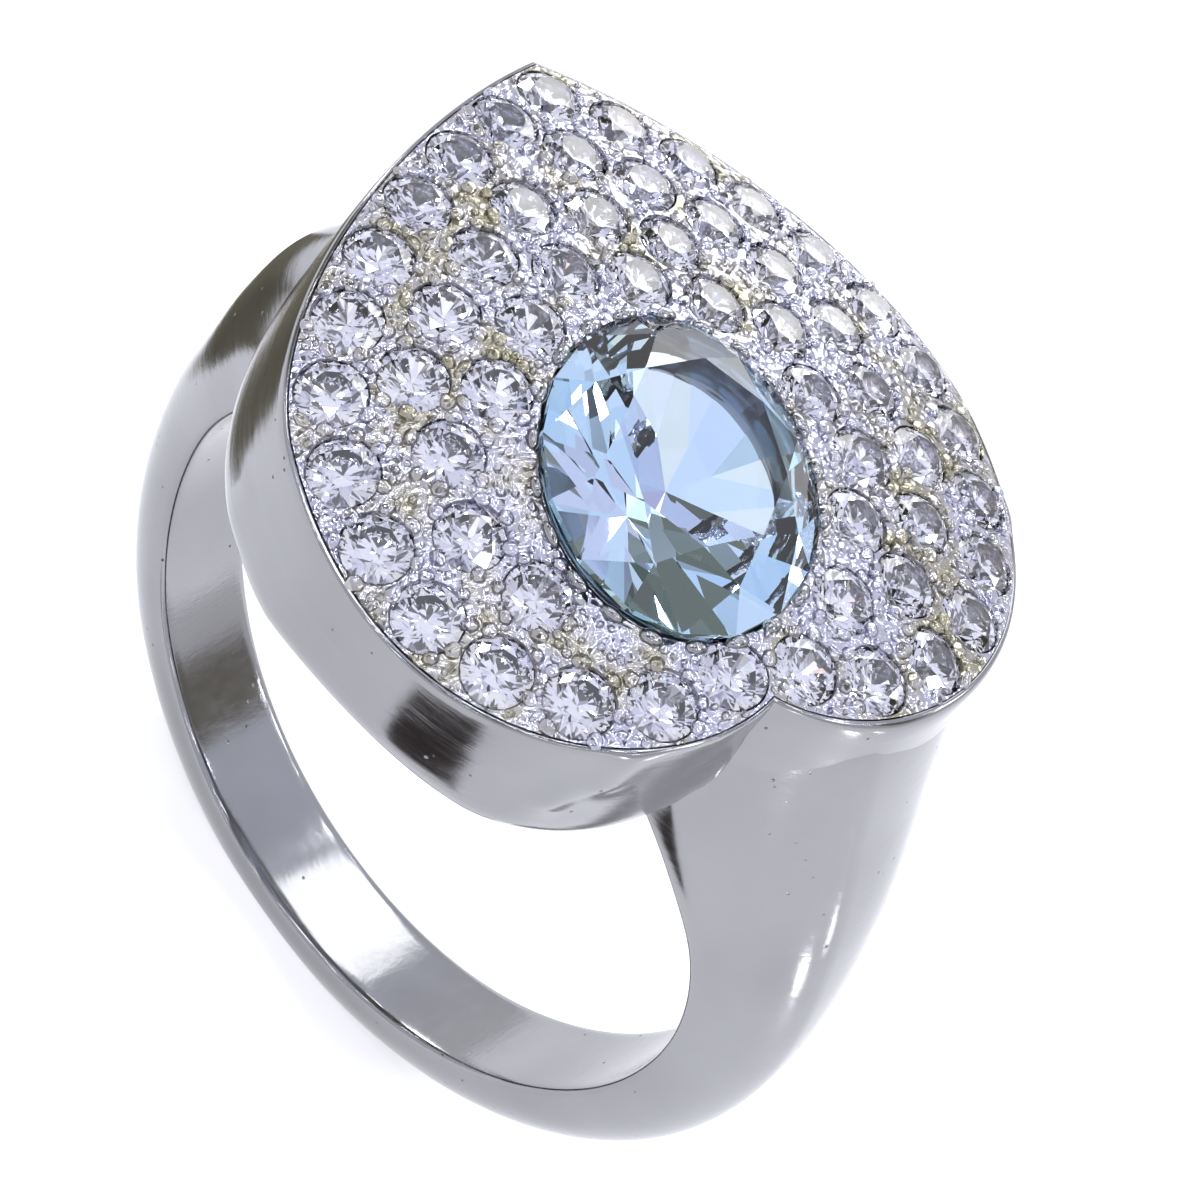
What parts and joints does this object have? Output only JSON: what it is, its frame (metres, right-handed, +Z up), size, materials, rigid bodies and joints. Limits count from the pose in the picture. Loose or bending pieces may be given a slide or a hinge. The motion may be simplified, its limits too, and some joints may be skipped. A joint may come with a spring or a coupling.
{
  "type": "cocktail ring",
  "caption": "Cocktail ring with a wide heart-shaped head paved with round white stones round one oval blue stone, on a plain shank with broad shoulders.",
  "frame": {"origin": "centre of the finger hole, in the middle of the band", "axes": "+Y along the finger, +Z up through the head, +X along the band towards the shoulder below the cleft of the heart"},
  "size_m": [0.0213, 0.0168, 0.0229],
  "materials": {
    "polished_silver": "polished white metal with fine scratches and small casting pits",
    "pave_silver": "bead-set white metal, slightly yellow in the recesses",
    "white_stone": "colourless brilliant-cut stone",
    "blue_stone": "light blue oval mixed-cut stone"
  },
  "bodies": {
    "root": {"shank": "polished_silver", "head_shell": "polished_silver", "pave_plate": "pave_silver", "centre_collet": "polished_silver", "centre_stone": "blue_stone", "pave_stone_01": "white_stone", "pave_stone_02": "white_stone", "pave_stone_03": "white_stone", "pave_stone_04": "white_stone", "pave_stone_05": "white_stone", "pave_stone_06": "white_stone", "pave_stone_07": "white_stone", "pave_stone_08": "white_stone", "pave_stone_09": "white_stone", "pave_stone_10": "white_stone", "pave_stone_11": "white_stone", "pave_stone_12": "white_stone", "pave_stone_13": "white_stone", "pave_stone_14": "white_stone", "pave_stone_15": "white_stone", "pave_stone_16": "white_stone", "pave_stone_17": "white_stone", "pave_stone_18": "white_stone", "pave_stone_19": "white_stone", "pave_stone_20": "white_stone", "pave_stone_21": "white_stone", "pave_stone_22": "white_stone", "pave_stone_23": "white_stone", "pave_stone_24": "white_stone", "pave_stone_25": "white_stone", "pave_stone_26": "white_stone", "pave_stone_27": "white_stone", "pave_stone_28": "white_stone", "pave_stone_29": "white_stone", "pave_stone_30": "white_stone", "pave_stone_31": "white_stone", "pave_stone_32": "white_stone", "pave_stone_33": "white_stone", "pave_stone_34": "white_stone", "pave_stone_35": "white_stone", "pave_stone_36": "white_stone", "pave_stone_37": "white_stone", "pave_stone_38": "white_stone", "pave_stone_39": "white_stone", "pave_stone_40": "white_stone", "pave_stone_41": "white_stone", "pave_stone_42": "white_stone", "pave_stone_43": "white_stone", "pave_stone_44": "white_stone", "pave_stone_45": "white_stone", "pave_stone_46": "white_stone", "pave_stone_47": "white_stone", "pave_stone_48": "white_stone", "pave_stone_49": "white_stone", "pave_stone_50": "white_stone", "pave_stone_51": "white_stone", "pave_stone_52": "white_stone", "pave_stone_53": "white_stone", "pave_stone_54": "white_stone", "pave_stone_55": "white_stone"}
  },
  "joints": []
}
